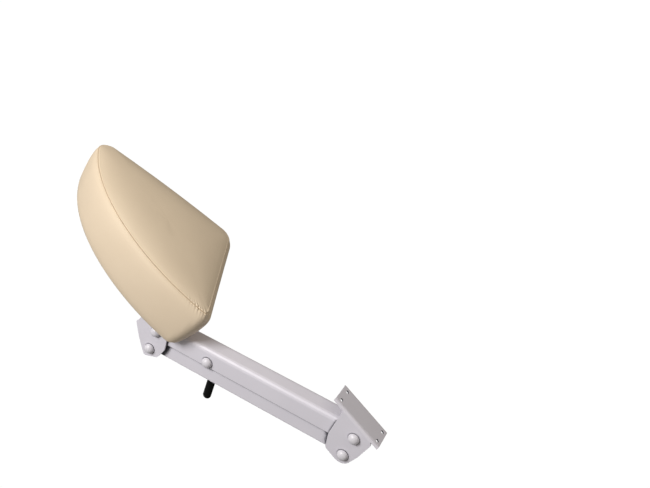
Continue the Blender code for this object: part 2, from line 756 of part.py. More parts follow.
def make_skin(name, rings, inner_rings, finish):
    """A closed solid from rings; with inner rings, a skin open under the board."""
    work = bmesh.new()
    outer = [[work.verts.new(point) for point in ring] for ring in rings]
    for lower, upper in zip(outer, outer[1:]):
        bridge(work, lower, upper)
    close_top(work, outer[-1])
    if inner_rings:
        inner = [[work.verts.new(point) for point in ring] for ring in inner_rings]
        for lower, upper in zip(inner, inner[1:]):
            bridge(work, lower, upper)
        close_top(work, inner[-1])
        bridge(work, inner[0], outer[0])
    else:
        work.faces.new(outer[0])
    bmesh.ops.recalc_face_normals(work, faces=work.faces)
    mesh = bpy.data.meshes.new(name)
    work.to_mesh(mesh)
    work.free()
    return dress(add_object(name, mesh, head_hinge), finish)


def close_top(work, ring):
    """A fan of faces to the middle of a ring."""
    middle = sum((vertex.co for vertex in ring), Vector()) / len(ring)
    centre = work.verts.new(middle)
    for index, vertex in enumerate(ring):
        work.faces.new((vertex, ring[(index + 1) % len(ring)], centre))


def make_flat_sheet(name, inset, extra, low, thickness, finish):
    """A flat piece with the pad's outline."""
    outline = [(point.x, point.y) for point in pad_outline(inset, extra)]
    flipped = [(PAD_CORNER[0] - v, PAD_CORNER[1] + u) for u, v in outline]
    mesh = extruded_mesh(flipped, thickness, "XY")
    mesh.transform(Matrix.Translation((0.0, 0.0, PAD_CORNER[2] + low + thickness / 2)))
    return dress(add_object(name, mesh, head_hinge), finish)


def make_pad():
    """Cover, foam, board and dust cover."""
    make_skin("pad_cover", pad_rings(0.0), pad_rings(COVER), VINYL)
    board_top = BOARD_BOTTOM + BOARD_THICK
    foam_floor = board_top + GAP
    rings = pad_rings(COVER + GAP, foam_floor)
    level = [ring for ring in rings if ring[0].z <= PAD_CORNER[2] + foam_floor + 0.0001]
    foam_rings = rings[len(level) - 1:]
    foam = make_skin("pad_foam", foam_rings, None, FOAM)
    top = PAD_CORNER[2] + board_top
    drill_pad_screws(foam, 0.0105, top - 0.01, top + 0.006)
    board = make_flat_sheet("pad_board", BOARD_INSET, FOOT_RELIEF, BOARD_BOTTOM, BOARD_THICK, PLYWOOD)
    drill_pad_screws(board, 0.0045)
    dust = make_flat_sheet("pad_dust_cover", DUST_INSET, FOOT_RELIEF, DUST_BOTTOM, DUST_THICK, DUST_CLOTH)
    drill_pad_screws(dust, SCREW_HOLE_R)
    make_pad_fasteners(top)


def make_pad_fasteners(board_top):
    """Tee nuts on the board and the screws that hold the plate to them."""
    barrel = 0.0042
    bore = SCREW_HOLE_R
    flange_low = board_top + GAP
    tee = [(0.0095, flange_low + 0.0014), (0.0095, flange_low), (barrel, flange_low),
           (barrel, board_top - 0.009), (bore, board_top - 0.009), (bore, flange_low + 0.0014)]
    under = PLATE_TOP - PLATE - GAP
    screw = [(0.0, board_top + 0.003), (SCREW_R, board_top + 0.003), (SCREW_R, under),
             (0.0055, under), (0.0055, under - 0.0012), (0.0035, under - 0.0032),
             (0.0, under - 0.0035)]
    tee_mesh = upright_mesh(tee, 16)
    screw_mesh = upright_mesh(screw, 16)
    for number, (x, y) in enumerate(PAD_SCREWS, 1):
        place(f"pad_tee_nut_{number}", tee_mesh, ZINC, head_hinge, (x, y, 0.0))
        place(f"pad_screw_{number}", screw_mesh, ZINC, head_hinge, (x, y, 0.0))


# ---------------------------------------------------------------- build
make_base_bracket()
make_bracket_fasteners("base", BASE_PIVOT, (lower_base_axis.x, lower_base_axis.z), None)
make_upper_channel()
make_sleeves("upper", UPPER_WIDTH, upper_hinge)
make_lower_channel()
make_sleeves("lower", LOWER_WIDTH, lower_hinge)
make_clamp()
make_lever()
make_head_bracket()
make_pad_plate()
make_bracket_fasteners("head", (0.0, 0.0), HEAD_LOWER, head_hinge)
make_pad()
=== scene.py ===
"""The looks of a massage table's side bolster: an upholstered pad on a white parallel-link arm.

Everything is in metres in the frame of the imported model. The pad is shaped in the head
frame: origin on the upper head pivot, tilted as the pad is, Z up through its top panel.
"""
import json
import math

import bmesh
import bpy
import numpy as np
from mathutils import Matrix, Vector


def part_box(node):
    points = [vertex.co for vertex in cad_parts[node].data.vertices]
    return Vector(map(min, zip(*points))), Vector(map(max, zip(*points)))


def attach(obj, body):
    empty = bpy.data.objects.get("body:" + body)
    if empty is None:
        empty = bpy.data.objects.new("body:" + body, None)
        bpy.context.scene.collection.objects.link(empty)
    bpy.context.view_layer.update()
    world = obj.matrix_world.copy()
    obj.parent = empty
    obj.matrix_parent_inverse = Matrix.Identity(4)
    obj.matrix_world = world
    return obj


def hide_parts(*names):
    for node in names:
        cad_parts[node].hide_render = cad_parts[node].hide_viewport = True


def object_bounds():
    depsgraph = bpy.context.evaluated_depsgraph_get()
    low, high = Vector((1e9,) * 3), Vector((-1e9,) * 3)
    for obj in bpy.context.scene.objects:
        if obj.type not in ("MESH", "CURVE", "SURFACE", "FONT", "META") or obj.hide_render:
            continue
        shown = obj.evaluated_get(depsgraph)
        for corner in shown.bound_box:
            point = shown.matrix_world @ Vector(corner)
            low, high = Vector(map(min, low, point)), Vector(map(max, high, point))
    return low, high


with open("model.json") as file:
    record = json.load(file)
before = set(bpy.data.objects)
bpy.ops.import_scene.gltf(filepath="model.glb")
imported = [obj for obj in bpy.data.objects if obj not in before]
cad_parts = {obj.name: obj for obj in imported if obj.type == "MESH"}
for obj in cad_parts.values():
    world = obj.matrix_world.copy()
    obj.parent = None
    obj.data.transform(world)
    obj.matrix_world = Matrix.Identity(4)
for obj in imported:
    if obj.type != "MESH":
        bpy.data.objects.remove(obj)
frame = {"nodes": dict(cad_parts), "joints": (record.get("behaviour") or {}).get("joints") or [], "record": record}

cad_low, cad_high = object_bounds()

# ---------------------------------------------------------------- places from the frame
JOINTS = {joint["name"]: joint for joint in frame["joints"]}
HEAD_PIVOT = Vector(JOINTS["head_level"]["pos_m"])
CLAMP_PIVOT = Vector(JOINTS["clamp_turn"]["pos_m"])
BASE_PIVOT = Vector(JOINTS["arm_lift"]["pos_m"])
PAD_TILT = math.radians(5.3)
HEAD_FRAME = Matrix.Translation(HEAD_PIVOT) @ Matrix.Rotation(-PAD_TILT, 4, "Y")
LINK = HEAD_PIVOT - BASE_PIVOT
LINK_SLOPE = math.atan2(-LINK.z, -LINK.x)
ARM_TURN = Matrix.Rotation(-LINK_SLOPE, 4, "Y")
LEVER_REST = math.radians(6.0)

# ---------------------------------------------------------------- pad sizes
PAD_CORNER = (0.0491, -0.034)            # seam corner nearest the base, in the head frame
ELLIPSE_CENTRE = (0.1796, 0.070)
ELLIPSE_RADII = (0.1878, 0.310)
INNER_FOOT = Vector((0.1825, 0.0883))    # where the straight inner and foot sides would meet
FOOT_OUTER = Vector((0.003, -0.004))
FLARE = math.radians(12.9)
TIP_R = 0.018
INNER_R = 0.024
OUTER_R = 0.006
INNER_BOW = 0.003
CORNER_STEPS = 24
SIDE_STEPS = 120
SEAM_HEIGHT = 0.1277                     # of the seam above the head pivot
PAD_BOTTOM = 0.0292                      # underside of the cover
BAND_DEPTH = SEAM_HEIGHT - PAD_BOTTOM
UPPER_BAND = 0.15 * BAND_DEPTH           # from the last section below the seam
# Inset, extra inset on the foot side, extra radius of the outer corner, height, and how far
# the soft rim drops on the other sides.
SECTIONS = (
    (0.0255, 0.0160, 0.0, PAD_BOTTOM, 0.0),
    (0.0120, 0.0200, 0.0, PAD_BOTTOM, 0.0),
    (0.0070, 0.0090, 0.010, PAD_BOTTOM + 0.0024, 0.0140),
    (0.0000, 0.0030, 0.012, PAD_BOTTOM + 0.0090, 0.0140),
    (-0.0040, 0.0020, 0.012, PAD_BOTTOM + 0.0180, 0.0100),
    (-0.0060, -0.0035, 0.010, SEAM_HEIGHT - 0.50 * BAND_DEPTH, 0.0),
    (-0.0040, -0.0055, 0.006, SEAM_HEIGHT - UPPER_BAND, 0.0),
    (0.0, 0.0, 0.0, SEAM_HEIGHT, 0.0),
)
COVER = 0.0011
SHOULDER = 0.0040                        # quick rise of the panel beside its seam
SHOULDER_WIDTH = 0.0075
CROWN = 0.0150                           # dome, before its fall towards the sides
CROWN_WIDTH = 0.060
SWELL_CAP = 0.0065
COLUMNS = 720                            # of the skin, round the pad
SLACK_STEP = 6                           # skin columns to one of the slack pad
SWELL_FRAMES = 20
SEAM_STATION = 7

# ---------------------------------------------------------------- seam and stitches
GROOVE_WIDTH = 0.0009
STITCH_OFFSET = 0.0036                   # of the stitch line, down from the seam
STITCH_PITCH = 0.0046
STITCH_LENGTH = 0.0034
THREAD_R = 0.00028
FINE_STEP = 0.0004                       # between the skin's rows beside the seam
FINE_ROWS = 16
BAND_OFFSETS = (0.0130, 0.0115, 0.0100, 0.0086, 0.0074)
PANEL_OFFSETS = (0.0074, 0.0086, 0.0100, 0.0116, 0.0134)
PANEL_START = 0.0154                     # where the panel's even rows begin, from the seam
PANEL_END = 0.985                        # share of the way to the middle where they end
PANEL_ROWS = 34

# ---------------------------------------------------------------- caps and grip
CAP_WALL = 0.0012
CAP_RIM = 0.0003
DOME_STEPS = 15
DOME_SHAPE = 0.92                        # below 1 the dome is fuller than a half ellipse
HOLLOW_STEPS = 10
GRIP_TOP = 0.034                         # below the clamp bolt
GRIP_TIP = 0.118
GRIP_R = 0.0078
GRIP_FLATTEN = 0.8
BORE_R = 0.0038
BORE_END = 0.0185                        # above the grip's tip


# ---------------------------------------------------------------- small helpers
def add_mesh(name, mesh, body):
    """A new object that rides on a body."""
    piece = bpy.data.objects.new(name, mesh)
    bpy.context.scene.collection.objects.link(piece)
    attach(piece, body)
    return piece


def applied(piece):
    """Turn a piece's modifiers into its mesh."""
    bpy.context.view_layer.update()
    graph = bpy.context.evaluated_depsgraph_get()
    mesh = bpy.data.meshes.new_from_object(piece.evaluated_get(graph))
    piece.modifiers.clear()
    piece.data = mesh


def smooth_shaded(mesh, angle=35.0):
    """Smooth round faces, with creases left sharp."""
    mesh.shade_smooth()
    mesh.set_sharp_from_angle(angle=math.radians(angle))


# ---------------------------------------------------------------- materials
class Graph:
    """A few shorthands for building a Principled material."""

    def __init__(self, name):
        self.material = bpy.data.materials.new(name)
        self.material.use_nodes = True
        self.nodes = self.material.node_tree.nodes
        self.links = self.material.node_tree.links
        self.shader = self.nodes["Principled BSDF"]
        self.place = self.nodes.new("ShaderNodeTexCoord").outputs["Object"]

    def constant(self, **values):
        """Set sockets of the shader, named with underscores for spaces."""
        for name, value in values.items():
            self.shader.inputs[name.replace("_", " ")].default_value = value

    def noise(self, scale, detail=3.0, roughness=0.5, stretch=None):
        """Noise over the object's own coordinates."""
        node = self.nodes.new("ShaderNodeTexNoise")
        node.inputs["Scale"].default_value = scale
        node.inputs["Detail"].default_value = detail
        node.inputs["Roughness"].default_value = roughness
        place = self.place
        if stretch:
            mapping = self.nodes.new("ShaderNodeMapping")
            mapping.inputs["Scale"].default_value = stretch
            self.links.new(place, mapping.inputs["Vector"])
            place = mapping.outputs["Vector"]
        self.links.new(place, node.inputs["Vector"])
        return node.outputs["Fac"]

    def cells(self, scale):
        """Distance to the edge of the nearest cell, as in a leather grain."""
        node = self.nodes.new("ShaderNodeTexVoronoi")
        node.feature = "DISTANCE_TO_EDGE"
        node.inputs["Scale"].default_value = scale
        self.links.new(self.place, node.inputs["Vector"])
        return node.outputs["Distance"]

    def spread(self, source, low, high, start=0.0, end=1.0):
        """Map a value from one range to another."""
        node = self.nodes.new("ShaderNodeMapRange")
        node.inputs["From Min"].default_value = start
        node.inputs["From Max"].default_value = end
        node.inputs["To Min"].default_value = low
        node.inputs["To Max"].default_value = high
        self.links.new(source, node.inputs["Value"])
        return node.outputs["Result"]

    def colours(self, source, dark, light, low=0.3, high=0.7):
        """Run from one colour to another as a value goes from low to high."""
        ramp = self.nodes.new("ShaderNodeValToRGB")
        for element, place, colour in zip(ramp.color_ramp.elements, (low, high), (dark, light)):
            element.position = place
            element.color = (*colour, 1.0)
        self.links.new(source, ramp.inputs["Fac"])
        return ramp.outputs["Color"]

    def attribute(self, name):
        """A value stored on the mesh."""
        node = self.nodes.new("ShaderNodeAttribute")
        node.attribute_name = name
        return node.outputs["Fac"]

    def painted_crevice_shade(self, distance, open_share, closed_share):
        """How closed in a place is by what stands within a distance, from 0 to 1, as a mask for painted shade."""
        node = self.nodes.new("ShaderNodeAmbientOcclusion")
        node.samples = 16
        node.inputs["Distance"].default_value = distance
        return self.spread(node.outputs["AO"], 1.0, 0.0, closed_share, open_share)

    def darker(self, colour, share, dark):
        """Blend a colour towards a dark one, to paint shade into it."""
        node = self.nodes.new("ShaderNodeMix")
        node.data_type = "RGBA"
        self.links.new(share, node.inputs["Factor"])
        self.links.new(colour, node.inputs[6])
        node.inputs[7].default_value = (*dark, 1.0)
        return node.outputs[2]

    def bump(self, source, distance, strength=1.0, under=None):
        """Bump from a height, on top of another bump."""
        node = self.nodes.new("ShaderNodeBump")
        node.inputs["Distance"].default_value = distance
        node.inputs["Strength"].default_value = strength
        self.links.new(source, node.inputs["Height"])
        if under is not None:
            self.links.new(under, node.inputs["Normal"])
        return node.outputs["Normal"]

    def finish(self, colour=None, roughness=None, normal=None):
        """Plug the last values in the shader."""
        found = (("Base Color", colour), ("Roughness", roughness), ("Normal", normal))
        for name, source in found:
            if source is not None:
                self.links.new(source, self.shader.inputs[name])
        return self.material


def make_vinyl():
    """Soft cream upholstery vinyl with a fine leather grain and painted shade in its seam's groove."""
    graph = Graph("cream_vinyl_grain")
    tone = graph.noise(9.0, 4.0, 0.55)
    colour = graph.colours(tone, (0.745, 0.610, 0.452), (0.775, 0.640, 0.478))
    # Painted shade: darker brown along the seam's groove, by a share stored on the mesh.
    colour = graph.darker(colour, graph.attribute("seam_groove_shade"), (0.46, 0.34, 0.22))
    rough = graph.spread(graph.noise(60.0, 3.0), 0.40, 0.52, 0.3, 0.7)
    grain = graph.bump(graph.cells(1150.0), 0.00010, 0.30)
    fine = graph.bump(graph.noise(2600.0, 2.0), 0.00004, 0.35, grain)
    soft = graph.bump(graph.noise(38.0, 2.0), 0.0010, 0.12, fine)
    graph.constant(Specular_IOR_Level=0.36, Sheen_Weight=0.04, Coat_Weight=0.03)
    return graph.finish(colour, rough, soft)


def make_paint(name, reach, open_share, closed_share):
    """White powder coat: a fine orange peel over pressed steel, with painted shade in its crevices."""
    graph = Graph(name)
    tone = graph.noise(14.0, 3.0, 0.5)
    colour = graph.colours(tone, (0.735, 0.710, 0.780), (0.760, 0.735, 0.805))
    # Painted shade: the colour darkens towards near-black where nearby parts close a place in.
    closed = graph.painted_crevice_shade(reach, open_share, closed_share)
    colour = graph.darker(colour, closed, (0.08, 0.08, 0.10))
    rough = graph.spread(graph.noise(120.0, 3.0), 0.34, 0.46, 0.3, 0.7)
    peel = graph.bump(graph.noise(900.0, 2.0), 0.00006, 0.35)
    wave = graph.bump(graph.noise(120.0, 1.0), 0.00020, 0.10, peel)
    graph.constant(Specular_IOR_Level=0.45)
    return graph.finish(colour, rough, wave)


def make_cap_plastic():
    """Moulded white plastic of the dome caps."""
    graph = Graph("white_cap_plastic")
    colour = graph.colours(graph.noise(40.0), (0.72, 0.70, 0.755), (0.75, 0.73, 0.78))
    rough = graph.spread(graph.noise(300.0), 0.28, 0.36, 0.3, 0.7)
    skin = graph.bump(graph.noise(1500.0, 2.0), 0.00003, 0.25)
    return graph.finish(colour, rough, skin)


def make_black_plastic():
    """Moulded black plastic with a fine spark texture."""
    graph = Graph("black_grip_plastic")
    colour = graph.colours(graph.noise(90.0), (0.003, 0.003, 0.003), (0.006, 0.006, 0.006))
    rough = graph.spread(graph.noise(700.0), 0.38, 0.55, 0.3, 0.7)
    skin = graph.bump(graph.noise(1800.0, 3.0), 0.00008, 0.5)
    graph.constant(Specular_IOR_Level=0.12)
    return graph.finish(colour, rough, skin)


def make_zinc():
    """Bright zinc-plated steel with faint brushing."""
    graph = Graph("zinc_plated_steel")
    colour = graph.colours(graph.noise(70.0, 4.0), (0.50, 0.50, 0.47), (0.66, 0.66, 0.63))
    rough = graph.spread(graph.noise(450.0, 4.0), 0.24, 0.42, 0.3, 0.7)
    lines = graph.bump(graph.noise(600.0, 2.0, 0.5, (1.0, 8.0, 1.0)), 0.00004, 0.3)
    graph.constant(Metallic=1.0)
    return graph.finish(colour, rough, lines)


def make_nylon():
    """Milky nylon of the bearing washers."""
    graph = Graph("milky_nylon")
    colour = graph.colours(graph.noise(50.0), (0.70, 0.70, 0.66), (0.78, 0.78, 0.74))
    rough = graph.spread(graph.noise(500.0), 0.42, 0.56, 0.3, 0.7)
    skin = graph.bump(graph.noise(1400.0), 0.00003, 0.3)
    return graph.finish(colour, rough, skin)


def make_fibre():
    """Pressed fibre of the friction washers."""
    graph = Graph("pressed_fibre")
    colour = graph.colours(graph.noise(800.0, 5.0),
                           (0.12, 0.075, 0.045), (0.26, 0.17, 0.10), low=0.35, high=0.65)
    rough = graph.spread(graph.noise(600.0), 0.75, 0.92, 0.3, 0.7)
    skin = graph.bump(graph.noise(1200.0, 4.0), 0.00010, 0.6)
    return graph.finish(colour, rough, skin)


def make_plywood():
    """Birch plywood: long grain on the faces."""
    graph = Graph("birch_plywood")
    grain = graph.noise(28.0, 6.0, 0.6, (0.6, 9.0, 14.0))
    colour = graph.colours(grain, (0.42, 0.27, 0.14), (0.62, 0.45, 0.26), low=0.35, high=0.65)
    rough = graph.spread(grain, 0.60, 0.78, 0.3, 0.7)
    return graph.finish(colour, rough, graph.bump(grain, 0.0002, 0.4))


def make_foam():
    """Open-cell upholstery foam."""
    graph = Graph("open_cell_foam")
    cells = graph.cells(700.0)
    colour = graph.colours(cells, (0.52, 0.46, 0.30), (0.82, 0.76, 0.55), low=0.0, high=0.5)
    graph.constant(Roughness=0.95, Subsurface_Weight=0.1)
    return graph.finish(colour, None, graph.bump(cells, 0.0005, 0.8))


def make_dust_cloth():
    """Black spun-bonded cloth under the pad."""
    graph = Graph("black_dust_cloth")
    web = graph.noise(900.0, 6.0, 0.7, (1.0, 2.2, 1.0))
    colour = graph.colours(web, (0.012, 0.012, 0.013), (0.045, 0.045, 0.047), low=0.35)
    graph.constant(Roughness=0.9, Sheen_Weight=0.15)
    return graph.finish(colour, None, graph.bump(web, 0.0002, 0.7))


def make_thread():
    """Cream sewing thread, twisted."""
    graph = Graph("cream_thread")
    twist = graph.noise(2500.0, 2.0)
    colour = graph.colours(twist, (0.70, 0.56, 0.39), (0.86, 0.73, 0.55))
    graph.constant(Roughness=0.6, Sheen_Weight=0.2)
    return graph.finish(colour, None, graph.bump(twist, 0.00005, 0.5))


VINYL = make_vinyl()
# Both paints hold painted shade in their crevices; the second, for the lower channel, reaches further and darkens
# more: a painted shadow line under the upper channel's lip.
PAINT = make_paint("white_powder_coat", 0.006, 0.86, 0.60)
LIP_SHADOW_PAINT = make_paint("white_powder_coat_inner_lip_shadow", 0.012, 0.93, 0.82)
CAP_PLASTIC = make_cap_plastic()
BLACK_PLASTIC = make_black_plastic()
ZINC = make_zinc()
NYLON = make_nylon()
FIBRE = make_fibre()
PLYWOOD = make_plywood()
FOAM = make_foam()
DUST_CLOTH = make_dust_cloth()
THREAD = make_thread()

SLOT_MATERIALS = {
    "cream_vinyl": VINYL,
    "foam": FOAM,
    "plywood": PLYWOOD,
    "dust_cloth": DUST_CLOTH,
    "white_paint": PAINT,
    "white_plastic": CAP_PLASTIC,
    "nylon": NYLON,
    "zinc_steel": ZINC,
    "fibre": FIBRE,
    "black_plastic": BLACK_PLASTIC,
}


# ---------------------------------------------------------------- camera, stage and lights
def make_camera():
    """The photograph's view, from beside the table and above it."""
    data = bpy.data.cameras.new("camera")
    data.lens = 34.19
    data.sensor_width = 36.0
    camera = bpy.data.objects.new("camera", data)
    bpy.context.scene.collection.objects.link(camera)
    camera.location = (-0.2157, -0.7295, 0.6283)
    forward = Vector((-0.03043, 0.83909, -0.54315))
    roll = math.radians(-47.60)
    level = forward.to_track_quat("-Z", "Y").to_matrix().to_4x4()
    turn = level @ Matrix.Rotation(-roll, 4, "Z")
    camera.rotation_mode = "QUATERNION"
    camera.rotation_quaternion = turn.to_quaternion()
    data.clip_start = 0.01
    bpy.context.scene.camera = camera


def seen_white(nodes, links, output, lit, shown):
    """Show one shader to the camera and light the object with the other."""
    path = nodes.new("ShaderNodeLightPath")
    mix = nodes.new("ShaderNodeMixShader")
    links.new(path.outputs["Is Camera Ray"], mix.inputs["Fac"])
    links.new(lit, mix.inputs[1])
    links.new(shown, mix.inputs[2])
    links.new(mix.outputs["Shader"], output.inputs["Surface"])


def make_stage():
    """A plain white floor well below the arm."""
    work = bmesh.new()
    bmesh.ops.create_grid(work, x_segments=1, y_segments=1, size=12.0)
    mesh = bpy.data.meshes.new("floor")
    work.to_mesh(mesh)
    work.free()
    floor = bpy.data.objects.new("floor", mesh)
    bpy.context.scene.collection.objects.link(floor)
    floor.location.z = cad_low.z - 0.75
    white = bpy.data.materials.new("floor_white")
    white.use_nodes = True
    nodes = white.node_tree.nodes
    shader = nodes["Principled BSDF"]
    shader.inputs["Base Color"].default_value = (0.26, 0.26, 0.25, 1.0)
    shader.inputs["Roughness"].default_value = 0.9
    glow = nodes.new("ShaderNodeEmission")
    glow.inputs["Color"].default_value = (1.0, 1.0, 1.0, 1.0)
    glow.inputs["Strength"].default_value = 1.02
    seen_white(nodes, white.node_tree.links, nodes["Material Output"],
               shader.outputs["BSDF"], glow.outputs["Emission"])
    mesh.materials.append(white)


def area_light(name, direction, distance, size, power, colour, target):
    """A soft square light that looks at a place from a direction."""
    data = bpy.data.lights.new(name, "AREA")
    data.size = size
    data.energy = power
    data.color = colour
    light = bpy.data.objects.new(name, data)
    bpy.context.scene.collection.objects.link(light)
    away = Vector(direction).normalized()
    light.location = target + away * distance
    light.rotation_mode = "QUATERNION"
    light.rotation_quaternion = (-away).to_track_quat("-Z", "Y")


def make_lights():
    """A broad key from the camera's left, three warm fills and a surround that shows white."""
    middle = (cad_low + cad_high) / 2
    pad_end = HEAD_FRAME @ Vector((-0.25, 0.04, 0.13))
    area_light("key", (-0.63, -0.73, 0.25), 2.4, 1.0, 50.0, (1.0, 0.99, 0.98), middle)
    area_light("top_fill", (0.0, -0.30, 1.0), 2.4, 1.6, 5.5, (1.0, 0.92, 0.76), middle)
    area_light("table_bounce", (0.55, 0.80, 0.15), 1.8, 1.2, 2.5, (1.0, 0.86, 0.66), middle)
    area_light("pad_fill", (-0.30, -0.15, 0.95), 0.45, 0.3, 0.34, (1.0, 0.95, 0.82), pad_end)
    world = bpy.data.worlds.new("studio")
    bpy.context.scene.world = world
    world.use_nodes = True
    nodes = world.node_tree.nodes
    shown = nodes["Background"]
    shown.inputs["Color"].default_value = (1.0, 1.0, 1.0, 1.0)
    shown.inputs["Strength"].default_value = 1.02
    lit = nodes.new("ShaderNodeBackground")
    lit.inputs["Color"].default_value = (1.0, 0.96, 0.90, 1.0)
    lit.inputs["Strength"].default_value = 0.27
    seen_white(nodes, world.node_tree.links, nodes["World Output"],
               lit.outputs["Background"], shown.outputs["Background"])
    bpy.context.scene.view_settings.view_transform = "Standard"


make_camera()
make_stage()
make_lights()


# ---------------------------------------------------------------- the pad's form
def ellipse_normal(angle):
    """The outward direction of the curved side at an angle."""
    u = -math.cos(angle) / ELLIPSE_RADII[0]
    v = math.sin(angle) / ELLIPSE_RADII[1]
    return Vector((u, v)).normalized()


def ellipse_point(angle, inset):
    """A point of the long curved side, moved square inwards by inset."""
    u = ELLIPSE_CENTRE[0] - ELLIPSE_RADII[0] * math.cos(angle)
    v = ELLIPSE_CENTRE[1] + ELLIPSE_RADII[1] * math.sin(angle)
    return Vector((u, v)) - ellipse_normal(angle) * inset


def meet_ellipse(point, direction, inset, low, high):
    """The ellipse angle between low and high where a line crosses the curved side."""
    side = Vector((-direction.y, direction.x))
    gap_low = (ellipse_point(low, inset) - point).dot(side)
    for _ in range(50):
        middle = (low + high) / 2
        gap = (ellipse_point(middle, inset) - point).dot(side)
        if gap * gap_low > 0:
            low = middle
        else:
            high = middle
    return (low + high) / 2


def arc(centre, radius, first, last, steps):
    """Points of a corner, from one outward direction to another, clockwise."""
    start = math.atan2(first.y, first.x)
    sweep = (start - math.atan2(last.y, last.x)) % (2 * math.pi)
    angles = [start - sweep * step / steps for step in range(steps + 1)]
    return [centre + Vector((math.cos(a), math.sin(a))) * radius for a in angles]


def inward(point, direction, inset):
    """A point of a straight side moved towards the pad's middle."""
    return point + Vector((-direction.y, direction.x)) * inset


def pad_outline(inset, foot_extra=0.0, corner_extra=0.0):
    """The pad's outline moved inwards by inset, and each point's share of the rim's drop."""
    tip_r = max(TIP_R - inset, 0.004)
    inner_r = max(INNER_R - inset, 0.004)
    outer_r = max(OUTER_R + corner_extra - inset, 0.004)
    up = Vector((-math.sin(FLARE), math.cos(FLARE)))
    foot = (INNER_FOOT - FOOT_OUTER).normalized()
    foot_normal = Vector((-foot.y, foot.x))
    inner_normal = Vector((up.y, -up.x))

    reach = inset + tip_r
    tip_angle = meet_ellipse(inward(INNER_FOOT, up, reach), up, reach, 0.0, math.pi / 2)
    tip = arc(ellipse_point(tip_angle, reach), tip_r,
              ellipse_normal(tip_angle), inner_normal, CORNER_STEPS)

    reach = inset + outer_r
    start = inward(FOOT_OUTER, foot, reach + foot_extra)
    foot_angle = meet_ellipse(start, foot, reach, -1.2, 0.6)
    outer = arc(ellipse_point(foot_angle, reach), outer_r,
                -foot_normal, ellipse_normal(foot_angle), CORNER_STEPS)

    reach = inset + inner_r
    point = inward(INNER_FOOT, up, reach)
    offset = inward(FOOT_OUTER, foot, reach + foot_extra) - point
    along = offset.dot(foot_normal) / up.dot(foot_normal)
    inner = arc(point + up * along, inner_r, inner_normal, -foot_normal, CORNER_STEPS)

    shares = [step / SIDE_STEPS for step in range(1, SIDE_STEPS)]
    side = [ellipse_point(foot_angle + (tip_angle - foot_angle) * s, inset) for s in shares]
    straight = [tip[-1].lerp(inner[0], s) + inner_normal * (INNER_BOW * math.sin(math.pi * s))
                for s in shares]
    bottom = [inner[-1].lerp(outer[0], s) for s in shares]
    points = outer + side + tip + straight + inner + bottom
    rising = [math.sin(math.pi / 2 * step / CORNER_STEPS) for step in range(CORNER_STEPS + 1)]
    whole = [1.0] * (len(side) + len(tip) + len(straight))
    weights = rising + whole + rising[::-1] + [0.0] * len(bottom)
    places = [Vector((PAD_CORNER[0] - p.y, PAD_CORNER[1] + p.x)) for p in points]
    return places, weights


def even_ring(dense, count):
    """Evenly spaced points of a closed curve, and its length."""
    lengths = [0.0]
    for index, point in enumerate(dense):
        lengths.append(lengths[-1] + (dense[(index + 1) % len(dense)] - point).length)
    ring = []
    index = 0
    for step in range(count):
        goal = lengths[-1] * step / count
        while lengths[index + 1] < goal:
            index += 1
        share = (goal - lengths[index]) / (lengths[index + 1] - lengths[index])
        ring.append(dense[index].lerp(dense[(index + 1) % len(dense)], share))
    return ring, lengths[-1]


def by_angle(points, values):
    """Values of a closed curve's points, read in each column's direction from the heart."""
    polar = sorted((math.atan2(p.y - HEART.y, p.x - HEART.x), v) for p, v in zip(points, values))
    angles = np.array([angle for angle, _ in polar])
    return np.interp(ANGLES, angles, np.array([value for _, value in polar]), period=2 * math.pi)


def level_ring(inset, extra, corner, height, drop):
    """Reach from the heart and height of one of the pad's sections, for every column."""
    points, weights = pad_outline(inset, extra, corner)
    reach = by_angle(points, [(point - HEART).length for point in points])
    return reach, height - drop * by_angle(points, weights)


SEAM, SEAM_LENGTH = even_ring(pad_outline(0.0)[0][::-1], COLUMNS)
HEART = sum(SEAM, Vector((0.0, 0.0))) / COLUMNS
ANGLES = np.array([math.atan2(p.y - HEART.y, p.x - HEART.x) for p in SEAM])
OUTWARD = np.stack([np.cos(ANGLES), np.sin(ANGLES), np.zeros(COLUMNS)], axis=1)
UPWARD = np.array([0.0, 0.0, 1.0])
LEVELS = [level_ring(*section) for section in SECTIONS]


def level_points(level):
    """A whole ring of the pad at one of its sections, from the lip's edge to the seam."""
    reach, height = LEVELS[level]
    ring = OUTWARD * reach[:, None] + heart_at(0.0)
    ring[:, 2] = height
    return ring


def heart_at(height):
    """The pad's axis at a height, as an array."""
    return np.array([HEART.x, HEART.y, height])


def surface(station):
    """A whole ring of the pad's plain surface.

    Stations 0 to 1 run under the board, 1 to 4 round the under edge, 4 to 7 up the side
    band to the seam and 7 to 8 over the top panel to its middle.
    """
    if station >= SEAM_STATION:
        return panel(station - SEAM_STATION)
    level = math.floor(station)
    share = station - level
    start = level_points(level)
    end = level_points(level + 1)
    if level == 0:
        return start * (1 - share) + end * share
    before = level_points(level - 1)
    after = level_points(level + 2) if level + 1 < SEAM_STATION else 2 * end - start
    square = share * share
    cube = square * share
    gap_0 = np.sqrt(np.linalg.norm(start - before, axis=1))[:, None]
    gap_1 = np.sqrt(np.linalg.norm(end - start, axis=1))[:, None]
    gap_2 = np.sqrt(np.linalg.norm(after - end, axis=1))[:, None]
    slope_1 = (start - before) / gap_0 - (end - before) / (gap_0 + gap_1) + (end - start) / gap_1
    slope_2 = (end - start) / gap_1 - (after - start) / (gap_1 + gap_2) + (after - end) / gap_2
    return (start * (2 * cube - 3 * square + 1) + slope_1 * gap_1 * (cube - 2 * square + share)
            + end * (3 * square - 2 * cube) + slope_2 * gap_1 * (cube - square))


def panel(share):
    """A ring of the top panel, a shallow dome with a round shoulder at the seam."""
    ring = OUTWARD * (LEVELS[-1][0] * (1 - share))[:, None] + heart_at(SEAM_HEIGHT)
    edge = OUTWARD * LEVELS[-1][0][:, None] + heart_at(SEAM_HEIGHT)
    ring[:, 2] += dome_height(ring) - dome_height(edge) * (1 - share) ** 8
    return ring


